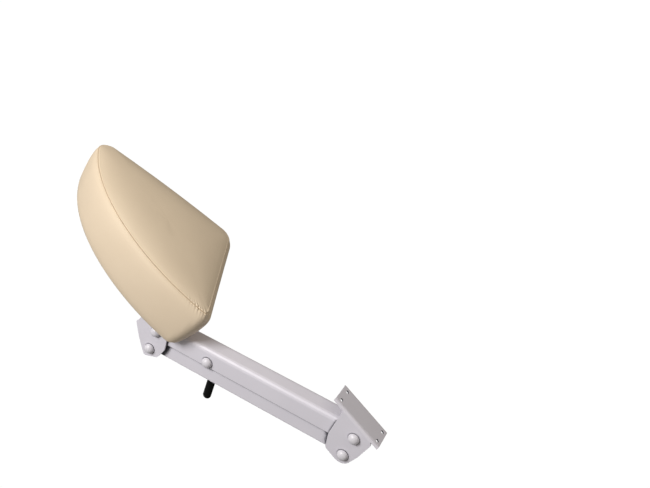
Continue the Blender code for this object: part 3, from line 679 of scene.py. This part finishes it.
def dome_height(ring):
    """Height of the panel over its seam, from the distances to its three sides."""
    u = ring[:, 1] - PAD_CORNER[1]
    v = PAD_CORNER[0] - ring[:, 0]
    foot = (INNER_FOOT - FOOT_OUTER).normalized()
    curved = ELLIPSE_RADII[0] * (1 - np.hypot((u - ELLIPSE_CENTRE[0]) / ELLIPSE_RADII[0],
                                              (v - ELLIPSE_CENTRE[1]) / ELLIPSE_RADII[1]))
    inner = (INNER_FOOT.x - u) * math.cos(FLARE) + (INNER_FOOT.y - v) * math.sin(FLARE) + INNER_BOW
    bottom = (v - FOOT_OUTER.y) * foot.x - (u - FOOT_OUTER.x) * foot.y
    shoulder = SHOULDER
    dome = CROWN
    for gap in (curved, inner, bottom):
        gap = np.maximum(gap, 0.0)
        shoulder = shoulder * (1 - np.exp(-gap / SHOULDER_WIDTH))
        dome = dome * (1 - np.exp(-gap / CROWN_WIDTH))
    return shoulder + dome


# ---------------------------------------------------------------- the pad's swelling
def spaced(start, end, steps):
    """Stations from start, short of end."""
    return [start + (end - start) * step / steps for step in range(steps)]


SLACK_STATIONS = (spaced(0, 1, 2) + spaced(1, 4, 6) + spaced(4, 5, 6) + spaced(5, 6, 6)
                  + spaced(6, 7, 3) + spaced(7, 8, 16))


def ring_faces(rows, count):
    """Quads between rows of points, each row a closed ring."""
    faces = []
    for row in range(rows - 1):
        for index in range(count):
            after = (index + 1) % count
            faces.append((row * count + index, row * count + after,
                          (row + 1) * count + after, (row + 1) * count + index))
    return faces


def cap_faces(rows, count):
    """Triangles from the last row to the one point that follows it."""
    last = (rows - 1) * count
    return [(last + index, last + (index + 1) % count, rows * count) for index in range(count)]


def is_held(station):
    """Whether the slack pad can't move there: under the board, and at the seam."""
    return station <= 1 or station == SEAM_STATION


def swell_moves():
    """How far the slack pad moves when it fills, for each of its stations and columns."""
    rings = [surface(station)[::SLACK_STEP] for station in SLACK_STATIONS]
    rest = np.array(rings)
    mesh = bpy.data.meshes.new("slack_pad")
    rows, count = rest.shape[:2]
    middle = rest[-1].mean(axis=0)
    faces = ring_faces(rows, count) + cap_faces(rows, count) + [tuple(reversed(range(count)))]
    points = [tuple(point) for point in rest.reshape(-1, 3)] + [tuple(middle)]
    mesh.from_pydata(points, [], faces)
    pad = bpy.data.objects.new("slack_pad", mesh)
    bpy.context.scene.collection.objects.link(pad)
    held = pad.vertex_groups.new(name="held")
    for row, station in enumerate(SLACK_STATIONS):
        if is_held(station):
            held.add([row * count + index for index in range(count)], 1.0, "REPLACE")
    blow_up(pad)
    full = np.array([tuple(vertex.co) for vertex in pad.data.vertices][:rows * count])
    moves = full.reshape(rest.shape) - rest
    bpy.data.objects.remove(pad)
    size = np.linalg.norm(moves, axis=2)
    print("pad swells by up to", round(float(size.max()) * 1000, 2), "mm")
    moves *= np.minimum(1.0, SWELL_CAP / np.maximum(size, 0.000001))[:, :, None]
    fixed = np.array([is_held(station) for station in SLACK_STATIONS])
    for _ in range(4):
        mean = (np.roll(moves, 1, axis=1) + np.roll(moves, -1, axis=1)) / 2
        mean[1:-1] = mean[1:-1] / 2 + (moves[2:] + moves[:-2]) / 4
        moves = np.where(fixed[:, None, None], moves, moves * 0.5 + mean * 0.5)
    return moves


def blow_up(pad):
    """Run the cloth simulation and keep its last frame."""
    cloth = pad.modifiers.new("cloth", "CLOTH")
    settings = cloth.settings
    settings.quality = 6
    settings.mass = 0.3
    settings.tension_stiffness = 30.0
    settings.compression_stiffness = 30.0
    settings.shear_stiffness = 12.0
    settings.bending_stiffness = 2.0
    settings.use_pressure = True
    settings.uniform_pressure_force = 4.0
    settings.vertex_group_mass = "held"
    settings.effector_weights.gravity = 0.0
    scene = bpy.context.scene
    for step in range(1, SWELL_FRAMES + 1):
        scene.frame_set(step)
    applied(pad)
    scene.frame_set(1)


def cubic_weights(share):
    """The four weights of a uniform cubic curve through its knots."""
    square = share * share
    cube = square * share
    return ((-cube + 2 * square - share) / 2, (3 * cube - 5 * square + 2) / 2,
            (-3 * cube + 4 * square + share) / 2, (cube - square) / 2)


def fine_columns(moves):
    """Moves for every column, curved between those of the slack pad."""
    fine = np.zeros((moves.shape[0], COLUMNS, 3))
    for step in range(SLACK_STEP):
        for turn, weight in zip((1, 0, -1, -2), cubic_weights(step / SLACK_STEP)):
            fine[:, step::SLACK_STEP] += weight * np.roll(moves, turn, axis=1)
    return fine


def move_at(moves, station):
    """A ring of moves at a station between those of the slack pad."""
    place = np.interp(station, SLACK_STATIONS, range(len(SLACK_STATIONS)))
    row = min(int(place), len(moves) - 2)
    ring = np.zeros((COLUMNS, 3))
    for step, weight in zip((-1, 0, 1, 2), cubic_weights(place - row)):
        near = min(max(row + step, 0), len(moves) - 1)
        ring += weight * moves[near]
    return ring


# ---------------------------------------------------------------- the pad's skin
def ridge(offset, height, place, width):
    """A rounded ridge, or a groove where the height is negative."""
    return height * math.exp(-((offset - place) / width) ** 2)


def seam_relief(offset):
    """Height of the sewn edge over the plain surface, for every column.

    offset runs across the seam, positive down the side band and negative on the panel.
    """
    groove = ridge(offset, -0.0016, 0.0, GROOVE_WIDTH)
    welt = ridge(offset, 0.00030, 0.0022, 0.0011)
    roll = ridge(offset, 0.00020, -0.0022, 0.0013)
    line = ridge(offset, -0.00030, STITCH_OFFSET, 0.0009)
    stitches = line * (0.6 + 0.4 * np.cos(2 * math.pi * ALONG / STITCH_PITCH))
    edge = ridge(offset, 0.00070, -0.0014, 0.0009) * FOOT
    fade = ridge(offset, 1.0, 0.0, 0.008 if offset > 0 else 0.005) * min(abs(offset) / 0.0015, 1.0)
    return groove + welt + roll + edge + stitches + PUCKERS * fade


ALONG = SEAM_LENGTH * np.arange(COLUMNS) / COLUMNS
PUCKER_SPOT = Vector((PAD_CORNER[0] - 0.012, PAD_CORNER[1] - 0.005))
AWAY = np.array([(point - PUCKER_SPOT).length for point in SEAM])
PUCKER_WAVES = (np.sin(2 * math.pi * ALONG / 0.0056)
                + 0.45 * np.sin(2 * math.pi * ALONG / 0.0083 + 1.0))
PUCKERS = PUCKER_WAVES * (0.00003 + 0.00085 * np.exp(-(AWAY / 0.020) ** 2))
FOOT = 1 - by_angle(*pad_outline(0.0))


def skin_rows():
    """The skin's rows as (station, offset across the seam or None)."""
    rows = [(station, None) for station in spaced(0, 1, 3) + spaced(1, 4, 15)
            + spaced(4, 5, 12) + spaced(5, 6, 13)]
    fine = [FINE_STEP * step for step in range(1, FINE_ROWS + 1)]
    for offset in [*BAND_OFFSETS, *reversed(fine), 0.0]:
        rows.append((SEAM_STATION - offset / UPPER_BAND, offset))
    typical = float(LEVELS[-1][0].mean())
    for offset in [*fine, *PANEL_OFFSETS]:
        rows.append((SEAM_STATION + offset / typical, -offset))
    first = PANEL_START / typical
    step = (PANEL_END - first) / PANEL_ROWS
    rows += [(SEAM_STATION + first + step * number, None) for number in range(PANEL_ROWS + 1)]
    return rows


def skin_rings():
    """Every row of the skin as an array of points, lip first."""
    moves = fine_columns(swell_moves())
    rings = []
    for station, offset in skin_rows():
        ring = surface(station) + move_at(moves, station)
        if offset is not None:
            lean = math.pi / 4 * (1 - max(-1.0, min(1.0, offset / 0.005)))
            away = OUTWARD * math.cos(lean) + UPWARD * math.sin(lean)
            ring = ring + away * seam_relief(offset)[:, None]
        rings.append(ring)
    return np.array(rings)


def make_skin(rings):
    """The sewn vinyl cover."""
    rows, count = rings.shape[:2]
    points = [tuple(point) for point in rings.reshape(-1, 3)]
    points.append(tuple(rings[-1].mean(axis=0)))
    faces = ring_faces(rows, count) + cap_faces(rows, count)
    raised = len(points)
    points += [(x, y, z + COVER) for x, y, z in rings[0]]
    for index in range(count):
        after = (index + 1) % count
        faces.append((after, index, raised + index, raised + after))
    mesh = bpy.data.meshes.new("pad_skin")
    mesh.from_pydata(points, [], faces)
    # Each point's share of painted shade in the seam's groove, weaker along the foot side.
    seam_groove_shade = mesh.attributes.new("seam_groove_shade", "FLOAT", "POINT")
    for row, (_, offset) in enumerate(skin_rows()):
        groove_shade_share = 0.0 if offset is None else ridge(offset, 1.0, 0.0, GROOVE_WIDTH)
        for index in range(count):
            seam_groove_shade.data[row * count + index].value = groove_shade_share * (1 - 0.6 * FOOT[index])
    mesh.transform(HEAD_FRAME)
    mesh.materials.append(VINYL)
    mesh.shade_smooth()
    skin = add_mesh("pad_skin", mesh, "head")
    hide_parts("pad_cover")


skin_grid = skin_rings()
make_skin(skin_grid)


# ---------------------------------------------------------------- stitching
def make_stitches():
    """A row of thread stitches down the side of the seam, all round the pad."""
    rows = skin_rows()
    row = min((abs(offset - STITCH_OFFSET), index) for index, (_, offset) in enumerate(rows)
              if offset is not None)[1]
    count = int(SEAM_LENGTH / STITCH_PITCH)
    work = bmesh.new()
    for number in range(count):
        middle = (number + 0.5) / count * COLUMNS
        half = STITCH_LENGTH / SEAM_LENGTH * COLUMNS / 2
        ends = [skin_point(row, middle - half), skin_point(row, middle + half)]
        across = skin_point(row - 2, middle) - skin_point(row + 2, middle)
        add_stitch(work, ends[0], ends[1], across.normalized())
    mesh = bpy.data.meshes.new("pad_stitching")
    work.to_mesh(mesh)
    work.free()
    mesh.transform(HEAD_FRAME)
    mesh.materials.append(THREAD)
    mesh.shade_smooth()
    stitching = add_mesh("pad_stitching", mesh, "head")


def skin_point(row, column):
    """A point of the skin between two of its columns."""
    base = math.floor(column)
    first = Vector(skin_grid[row][base % COLUMNS])
    second = Vector(skin_grid[row][(base + 1) % COLUMNS])
    return first.lerp(second, column - base)


def add_stitch(work, start, end, across):
    """One stitch: a short thread that rises from the cover and dips back into it."""
    along = (end - start).normalized()
    outward = along.cross(across).normalized()
    if outward.dot(start - Vector((HEART.x, HEART.y, start.z))) < 0:
        outward.negate()
    rings = []
    for step in range(7):
        share = step / 6
        swell = math.sin(math.pi * share)
        radius = THREAD_R * (0.35 + 0.65 * swell)
        centre = start.lerp(end, share) + outward * (THREAD_R * (1.1 * swell - 0.5))
        ring = []
        for side in range(6):
            angle = 2 * math.pi * side / 6
            ring.append(work.verts.new(centre + outward * (radius * math.cos(angle))
                                       + across * (radius * math.sin(angle))))
        rings.append(ring)
    for first, second in zip(rings, rings[1:]):
        for side in range(6):
            after = (side + 1) % 6
            work.faces.new((first[side], first[after], second[after], second[side]))
    work.faces.new(list(reversed(rings[0])))
    work.faces.new(rings[-1])


make_stitches()


# ---------------------------------------------------------------- round pieces
def turned(name, profile, steps, matrix, finish, body):
    """A profile (radius, height) turned about Z and put in place."""
    work = bmesh.new()
    rings = []
    for radius, height in profile:
        if radius == 0.0:
            rings.append([work.verts.new((0.0, 0.0, height))])
            continue
        angles = [2 * math.pi * step / steps for step in range(steps)]
        rings.append([work.verts.new((radius * math.cos(a), radius * math.sin(a), height))
                      for a in angles])
    for first, second in zip(rings, rings[1:]):
        for step in range(steps):
            after = (step + 1) % steps
            corners = [first[step % len(first)], first[after % len(first)],
                       second[after % len(second)], second[step % len(second)]]
            work.faces.new(list(dict.fromkeys(corners)))
    bmesh.ops.recalc_face_normals(work, faces=work.faces)
    mesh = bpy.data.meshes.new(name)
    work.to_mesh(mesh)
    work.free()
    mesh.transform(matrix)
    mesh.materials.append(finish)
    smooth_shaded(mesh, 50.0)
    return add_mesh(name, mesh, body)


def make_cap(node, body):
    """A dome cap with a small rolled rim, in place of its plain node."""
    low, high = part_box(node)
    radius = (high.x - low.x) / 2
    height = high.y - low.y
    profile = [(0.0, height)]
    for step in range(1, DOME_STEPS):
        angle = math.pi / 2 * step / DOME_STEPS
        profile.append((radius * math.sin(angle) ** DOME_SHAPE, height * math.cos(angle)))
    profile += [(radius, CAP_WALL), (radius, CAP_RIM), (radius - CAP_RIM, 0.0),
                (radius - CAP_WALL, 0.0)]
    for step in range(HOLLOW_STEPS, 0, -1):
        angle = math.pi / 2 * step / HOLLOW_STEPS
        profile.append(((radius - CAP_WALL) * math.sin(angle),
                        (height - CAP_WALL) * math.cos(angle)))
    profile.append((0.0, height - CAP_WALL))
    centre = Vector(((low.x + high.x) / 2, high.y, (low.z + high.z) / 2))
    place = Matrix.Translation(centre) @ Matrix.Rotation(math.pi / 2, 4, "X")
    cap = turned(node + "_dome", profile, 48, place, CAP_PLASTIC, body)
    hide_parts(node)


def grip_profile():
    """The grip's bore, its top with a collar and a groove, and its round tip."""
    bore_end = -GRIP_TIP + BORE_END
    profile = [(0.0, bore_end), (BORE_R, bore_end), (BORE_R, -GRIP_TOP)]
    collar = ((0.0012, 0.0), (0.0004, 0.0005), (0.0, 0.0014), (0.0, 0.0060),
              (0.0006, 0.0068), (0.0006, 0.0080), (0.0, 0.0090))
    profile += [(GRIP_R - inset, -GRIP_TOP - drop) for inset, drop in collar]
    for step in range(10):
        angle = math.pi / 2 * step / 10
        profile.append((GRIP_R * math.cos(angle), -GRIP_TIP + GRIP_R - GRIP_R * math.sin(angle)))
    profile.append((0.0, -GRIP_TIP))
    return profile


def make_grip():
    """The black lever grip: a flattened round bar with a round tip and a collar."""
    low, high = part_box("lever_rod")
    middle_y = (low.y + high.y) / 2
    place = (Matrix.Translation((CLAMP_PIVOT.x, middle_y, CLAMP_PIVOT.z)) @ ARM_TURN
             @ Matrix.Rotation(LEVER_REST, 4, "Y")
             @ Matrix.Diagonal((1.0, GRIP_FLATTEN, 1.0, 1.0)))
    grip = turned("lever_grip_fine", grip_profile(), 40, place, BLACK_PLASTIC, "clamp_lever")
    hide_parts("lever_grip")


CAP_BODIES = {
    "base_upper_pivot_cap": "base",
    "base_lower_pivot_cap": "base",
    "head_upper_pivot_cap": "head",
    "head_lower_pivot_cap": "head",
    "clamp_cap": "upper_link",
}
for cap_node, cap_body in CAP_BODIES.items():
    make_cap(cap_node, cap_body)
make_grip()


# ---------------------------------------------------------------- carried-over metal
def dress_node(node, finish):
    """Give a CAD node its material and softened edges."""
    piece = frame["nodes"][node]
    piece.data.materials.clear()
    piece.data.materials.append(finish)
    weld = piece.modifiers.new("weld", "WELD")
    weld.merge_threshold = 0.00002
    flat = piece.modifiers.new("flat", "DECIMATE")
    flat.decimate_type = "DISSOLVE"
    flat.angle_limit = math.radians(0.6)
    bevel = piece.modifiers.new("edges", "BEVEL")
    bevel.width = 0.00035
    bevel.segments = 2
    bevel.limit_method = "ANGLE"
    bevel.angle_limit = math.radians(38)
    bevel.harden_normals = True


# The lower channel takes the paint with the stronger painted shade, the shadow line under the upper channel's lip.
for part in frame["record"]["subparts"]:
    finish = SLOT_MATERIALS[part["material_slot"]]
    dress_node(part["node"], LIP_SHADOW_PAINT if part["node"] == "lower_channel" else finish)
